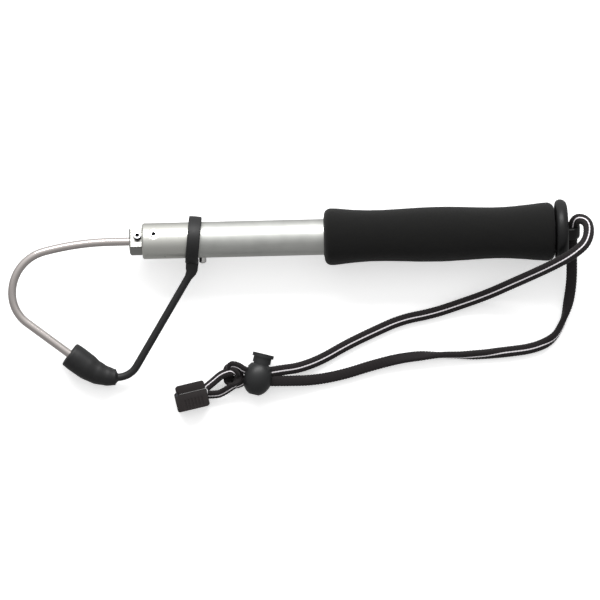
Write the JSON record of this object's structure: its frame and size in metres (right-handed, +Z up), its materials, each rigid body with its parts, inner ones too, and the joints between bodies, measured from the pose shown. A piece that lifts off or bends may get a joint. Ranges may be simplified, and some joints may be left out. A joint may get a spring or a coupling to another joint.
{
  "type": "telescopic gaff",
  "caption": "Hand gaff: bent steel rod hook on a telescopic alloy pole, with a rubber point guard, foam grip, end cap and wrist cord with a sliding lock.",
  "frame": {"origin": "on the pole's axis, at the middle of the bare tube between the guard's ring and the grip", "axes": "+X along the pole towards the grip and end cap, +Z up from the surface that the closed gaff lies on, the hook bends towards -Y"},
  "size_m": [0.3588, 0.1253, 0.042],
  "materials": {
    "anodised_alloy": "satin",
    "machined_alloy": "satin",
    "polished_stainless": "gloss",
    "screw_steel": "satin",
    "button_steel": "gloss",
    "spring_steel": "satin",
    "guide_plastic": "satin",
    "guard_rubber": "satin",
    "grip_foam": "matte",
    "end_cap_rubber": "satin",
    "braided_cord": "matte",
    "lock_plastic": "satin",
    "cord_end_plastic": "matte"
  },
  "bodies": {
    "handle": {"outer_tube": "anodised_alloy", "mouth_bush": "guide_plastic", "foam_grip": "grip_foam", "end_cap": "end_cap_rubber", "cord_upper": "braided_cord", "cord_lower": "braided_cord", "cord_tail_upper": "braided_cord", "cord_tail_lower": "braided_cord", "cord_in_lock": "braided_cord", "cord_lock_body": "lock_plastic", "cord_lock_spring": "spring_steel", "cord_knot": "braided_cord", "cord_end_body": "cord_end_plastic", "cord_end_pin": "spring_steel"},
    "front_section": {"inner_tube": "anodised_alloy", "inner_back_bush": "guide_plastic", "front_collar": "anodised_alloy", "hook_block": "machined_alloy", "hook_clamp_screw": "screw_steel", "collar_screw": "screw_steel", "hook": "polished_stainless", "front_button_spring": "spring_steel", "back_button_spring": "spring_steel", "guard_ring": "guard_rubber", "guard_strap": "guard_rubber"},
    "front_button": {"front_snap_button": "button_steel"},
    "back_button": {"back_snap_button": "button_steel"},
    "point_guard": {"guard_cap": "guard_rubber"},
    "lock_plunger": {"cord_lock_plunger": "lock_plastic"},
    "cord_end_cover": {"cord_end_lid": "cord_end_plastic"}
  },
  "joints": [
    {"name": "pole_slide", "type": "slide", "parent": "handle", "child": "front_section", "axis": [-1, 0, 0], "range_m": [0, 0.18]},
    {"name": "front_button_press", "type": "slide", "parent": "front_section", "child": "front_button", "axis": [0, 0.9888, 0.1495], "range_m": [0, 0.005], "stiffness_N_per_m": 400, "springref_m": -0.003, "deforming": ["front_button_spring"]},
    {"name": "back_button_press", "type": "slide", "parent": "front_section", "child": "back_button", "axis": [0, 0.9888, 0.1495], "range_m": [0, 0.001], "stiffness_N_per_m": 400, "springref_m": -0.0048, "deforming": ["back_button_spring"]},
    {"name": "guard_pull", "type": "slide", "parent": "front_section", "child": "point_guard", "axis": [0.7873, -0.6097, -0.0922], "range_m": [0, 0.022], "deforming": ["guard_strap"]},
    {"name": "lock_press", "type": "slide", "parent": "handle", "child": "lock_plunger", "axis": [-0.2588, -0.9659, 0], "range_m": [0, 0.0037], "stiffness_N_per_m": 500, "springref_m": -0.003, "deforming": ["cord_lock_spring"]},
    {"name": "cord_end_open", "type": "hinge", "parent": "handle", "child": "cord_end_cover", "pos_m": [-0.05548, -0.09513, -0.0144], "axis": [0, 0, 1], "range_deg": [0, 100]}
  ]
}
